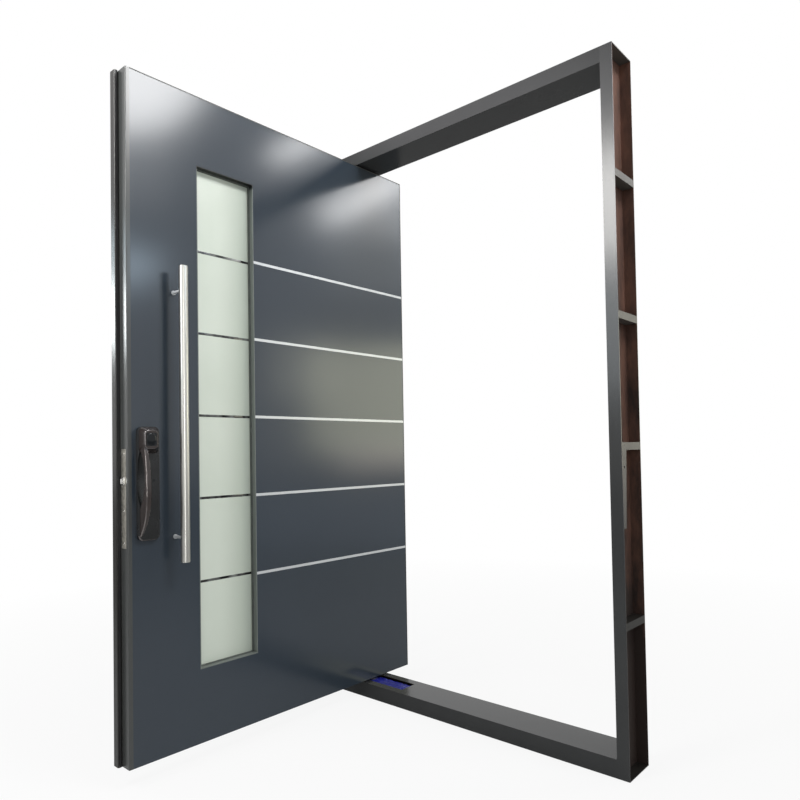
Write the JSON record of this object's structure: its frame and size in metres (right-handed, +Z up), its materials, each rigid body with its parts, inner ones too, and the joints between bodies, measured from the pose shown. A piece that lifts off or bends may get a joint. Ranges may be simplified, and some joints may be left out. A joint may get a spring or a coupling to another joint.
{
  "type": "pivot entry door",
  "caption": "Tall entry door leaf turning on a floor closer in a channel frame, with a frosted glass strip, bright inlays, long pull bar and push-pull lock.",
  "frame": {"origin": "middle of the sill's underside, on the floor", "axes": "+X along the frame's width to the lock jamb, +Y through the frame to the outside, +Z up"},
  "size_m": [1.47, 1.371, 2.4],
  "materials": {
    "frame_paint": "semi-gloss dark grey paint",
    "leaf_paint": "semi-gloss anthracite paint",
    "edge_paint": "semi-gloss anthracite paint on edge profiles",
    "inlay_metal": "bright anodised strip",
    "frosted_glass": "frosted glass, pale green",
    "bead_rubber": "black glazing gasket",
    "spacer_metal": "plain aluminium spacer",
    "stainless": "brushed stainless steel",
    "lock_case": "dark satin lock case",
    "lock_grip": "dark bronze-black polished grip",
    "sensor_gloss": "glossy black window",
    "faceplate_steel": "brushed steel faceplate",
    "latch_chrome": "plated latch",
    "closer_blue": "blue protective film over steel",
    "pivot_steel": "turned steel",
    "seal_rubber": "black rubber seal"
  },
  "bodies": {
    "frame": {"lock_jamb": "frame_paint", "pivot_jamb": "frame_paint", "head_channel": "frame_paint", "sill_channel": "frame_paint", "sill_base_plate": "frame_paint", "lock_jamb_ties": "frame_paint", "pivot_jamb_ties": "frame_paint", "head_ties": "frame_paint", "lock_stop": "frame_paint", "stop_seal": "seal_rubber", "strike_plate": "stainless", "jamb_gusset": "frame_paint", "floor_closer": "closer_blue", "closer_lid": "closer_blue", "top_pivot_housing": "pivot_steel", "top_pivot_pin": "pivot_steel"},
    "leaf": {"lock_stile": "edge_paint", "pivot_stile": "edge_paint", "top_rail": "edge_paint", "bottom_rail": "edge_paint", "pivot_spindle": "pivot_steel", "outer_skin": "leaf_paint", "inner_skin": "leaf_paint", "outer_inlay_strips": "inlay_metal", "inner_inlay_strips": "inlay_metal", "glazing_lining": "leaf_paint", "outer_glazing_bead": "bead_rubber", "inner_glazing_bead": "bead_rubber", "outer_pane": "frosted_glass", "inner_pane": "frosted_glass", "pane_spacer": "spacer_metal", "pull_bar": "stainless", "pull_bar_posts": "stainless", "outer_lock_body": "lock_case", "outer_lock_grip": "lock_grip", "inner_lock_body": "lock_case", "inner_lock_grip": "lock_grip", "sensor_window": "sensor_gloss", "key_cover": "sensor_gloss", "lock_faceplate": "faceplate_steel", "leaf_seal": "seal_rubber"},
    "latch": {"latch_bolt": "latch_chrome"}
  },
  "joints": [
    {"name": "leaf_swing", "type": "hinge", "parent": "frame", "child": "leaf", "pos_m": [-0.477, 0, 0], "axis": [0, 0, 1], "range_deg": [-20, 90]},
    {"name": "latch_slide", "type": "slide", "parent": "leaf", "child": "latch", "axis": [0, 1, 0], "range_m": [0, 0.012], "stiffness_N_per_m": 300, "springref_m": -0.02}
  ]
}
